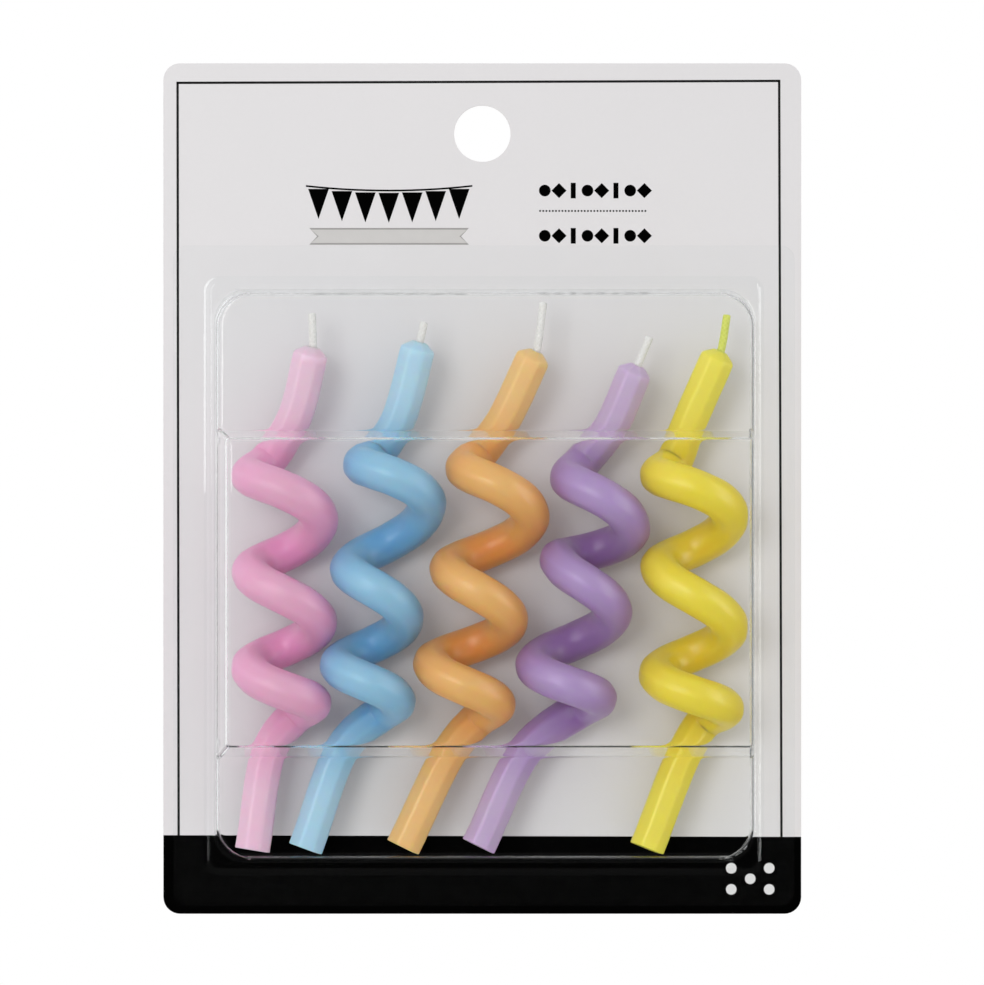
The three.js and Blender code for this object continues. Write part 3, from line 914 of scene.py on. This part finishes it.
def build_candles():
    # Each wax squeezed, stretched and at its tip
    # Each wax's deeper colour for painted shade, its paler colour for painted light, and its palest, painted at the
    # tip and the foot as painted light
    waxes = {
        "pink": ("f0a0cc", "e0acc5", "e8c6d7"), "blue": ("6cabd8", "98c3da", "b4d5e6"),
        "orange": ("ea9a50", "e4b670", "ebc282"), "purple": ("936ca8", "b399c6", "c8b2cf"),
        "yellow": ("efd040", "e8d643", "ecdd55"),
    }
    cottons = {"yellow": ("dce275", "ccd35a")}
    for seed, (colour, candle) in enumerate(CANDLES.items()):
        line = rod_line(candle)
        body = f"candle_{colour}"
        wax = drawn_wax(f"drawn_wax_{colour}", *waxes[colour])
        cotton = braided_cotton(f"braided_wick_{colour}", *cottons.get(colour, ("e8e6e3", "dfddda")))
        piece(f"wax_rod_{colour}", wax_mesh(candle, line, seed * 17.0), body, [wax], [body])
        piece(f"cotton_wick_{colour}", wick_mesh(candle, line), body, [cotton], [f"wick_{colour}"])


def studio_lamp(name, place, size, power):
    """A soft box that faces the pack, its place given in metres from the pack's middle."""
    light = bpy.data.lights.new(name, "AREA")
    light.shape = "RECTANGLE"
    light.size, light.size_y = size
    light.energy = power
    lamp = bpy.data.objects.new(name, light)
    bpy.context.scene.collection.objects.link(lamp)
    middle = Vector((0, -0.01, -0.07))
    lamp.location = middle + Vector(place)
    lamp.rotation_euler = (middle - lamp.location).to_track_quat("-Z", "Y").to_euler()
    return lamp


def direct_rays(tree):
    """Whether the surroundings are looked at, bare or through the clear sheet, and whether by way of a mirroring
    face of it. The sheet mirrors a darker room than the white one behind the pack."""
    path = add(tree, "ShaderNodeLightPath").outputs
    bounced = add(tree, "ShaderNodeMath", {0: path["Is Glossy Ray"], 1: path["Is Transmission Ray"]},
                  operation="MAXIMUM").outputs[0]
    direct = add(tree, "ShaderNodeMath", {0: path["Is Camera Ray"], 1: bounced}, operation="MAXIMUM").outputs[0]
    mirrored = add(tree, "ShaderNodeMath", {0: path["Glossy Depth"], 1: 0.5}, operation="GREATER_THAN").outputs[0]
    return direct, mirrored


def build_floor():
    """A round pale floor under the hanging pack. It turns white towards its edge where it is looked at."""
    bm = bmesh.new()
    bmesh.ops.create_circle(bm, cap_ends=True, segments=96, radius=FLOOR["radius"])
    bmesh.ops.translate(bm, verts=bm.verts, vec=(0, 0, FLOOR["height"]))
    mesh = bpy.data.meshes.new("floor")
    bm.to_mesh(mesh)
    bm.free()
    floor = bpy.data.objects.new("floor", mesh)
    bpy.context.scene.collection.objects.link(floor)
    material, tree = new_material("painted_floor")
    place = add(tree, "ShaderNodeTexCoord").outputs["Object"]
    direct, mirrored = direct_rays(tree)
    distance = add(tree, "ShaderNodeVectorMath", {0: place}, operation="LENGTH").outputs["Value"]
    far = add(tree, "ShaderNodeMapRange", {
        "Value": distance, "From Min": FLOOR["fades_from"], "From Max": FLOOR["radius"],
    }, interpolation_type="SMOOTHSTEP").outputs[0]
    white = add(tree, "ShaderNodeMath", {0: far, 1: direct}, operation="MULTIPLY").outputs[0]
    paint = add(tree, "ShaderNodeBsdfPrincipled", {"Base Color": linear("f4f4f4"), "Roughness": 0.6}).outputs[0]
    glow = add(tree, "ShaderNodeEmission", {"Color": (1, 1, 1, 1), "Strength": 1}).outputs[0]
    faint = add(tree, "ShaderNodeEmission", {"Color": (1, 1, 1, 1), "Strength": 0.08}).outputs[0]
    both = add(tree, "ShaderNodeMixShader", {0: white, 1: paint, 2: glow}).outputs[0]
    dark = add(tree, "ShaderNodeMath", {0: direct, 1: mirrored}, operation="MULTIPLY").outputs[0]
    both = add(tree, "ShaderNodeMixShader", {0: dark, 1: both, 2: faint}).outputs[0]
    add(tree, "ShaderNodeOutputMaterial", {"Surface": both})
    mesh.materials.append(material)


def build_lamps():
    """One soft light from the upper left, and a strip at each side that only glossy faces catch."""
    studio_lamp("soft_key", (-0.54, -1.38, 0.3), (0.6, 0.6), 4.9)
    for side, across, power in (("left", -0.9, 1.0), ("right", 0.9, 4.8)):
        strip = studio_lamp(f"edge_strip_{side}", (across, -0.44, 0), (0.24, 1.5), power)
        strip.visible_diffuse = False


def build_world():
    """Level light from all round, a little stronger from the left, the front and above. It is white where it is
    looked at, and the sheet mirrors a room that is dark in front, on the right and below."""
    world = bpy.data.worlds.new("studio")
    bpy.context.scene.world = world
    world.use_nodes = True
    tree = world.node_tree
    tree.nodes.clear()
    direct, mirrored = direct_rays(tree)
    heading = add(tree, "ShaderNodeSeparateXYZ", {0: add(tree, "ShaderNodeTexCoord").outputs["Generated"]}).outputs
    behind = add(tree, "ShaderNodeMapRange", {
        "Value": heading["Y"], "From Min": -0.5, "From Max": 0.1, "To Min": 0.012, "To Max": 1,
    }).outputs[0]
    right = add(tree, "ShaderNodeMapRange", {
        "Value": heading["X"], "From Min": -0.6, "From Max": 0.7, "To Min": 0.95, "To Max": 0.25,
    }).outputs[0]
    low = add(tree, "ShaderNodeMapRange", {
        "Value": heading["Z"], "From Min": -0.6, "From Max": -0.1, "To Min": 0.25, "To Max": 1,
    }).outputs[0]
    uneven = add(tree, "ShaderNodeMath", {0: right, 1: low}, operation="MULTIPLY").outputs[0]
    reflected = add(tree, "ShaderNodeMath", {0: behind, 1: uneven}, operation="MULTIPLY").outputs[0]
    seen = add(tree, "ShaderNodeMix", {"Factor": mirrored, "A": 1, "B": reflected}).outputs[0]
    leftward = add(tree, "ShaderNodeMapRange", {
        "Value": heading["X"], "From Min": -1, "From Max": 1, "To Min": 0.78, "To Max": 0.625,
    }).outputs[0]
    frontward = add(tree, "ShaderNodeMath", {0: heading["Y"], 1: -0.145, 2: leftward},
                    operation="MULTIPLY_ADD").outputs[0]
    upward = add(tree, "ShaderNodeMath", {0: heading["Z"], 1: 0.15, 2: frontward},
                 operation="MULTIPLY_ADD").outputs[0]
    level = add(tree, "ShaderNodeBackground", {"Color": (1, 1, 1, 1), "Strength": upward}).outputs[0]
    shown = add(tree, "ShaderNodeBackground", {"Color": (1, 1, 1, 1), "Strength": seen}).outputs[0]
    both = add(tree, "ShaderNodeMixShader", {0: direct, 1: level, 2: shown}).outputs[0]
    add(tree, "ShaderNodeOutputWorld", {"Surface": both})
    bpy.context.scene.view_settings.view_transform = "Standard"


def build_camera():
    """Square to the card, its lens taking in the photograph's height of 985 pixels at the card."""
    camera = bpy.data.objects.new("camera", bpy.data.cameras.new("camera"))
    bpy.context.scene.collection.objects.link(camera)
    camera.data.sensor_width = 36
    camera.data.lens = 36 * CAMERA_DISTANCE / (PHOTO_HEIGHT * PIXEL)
    camera.location = (CAMERA_AIM[0] * MM, -CAMERA_DISTANCE * MM, CAMERA_AIM[1] * MM)
    camera.rotation_euler = (math.radians(90), 0, 0)
    bpy.context.scene.camera = camera


build_card()
build_blister()
build_candles()
build_floor()
build_lamps()
build_world()
build_camera()
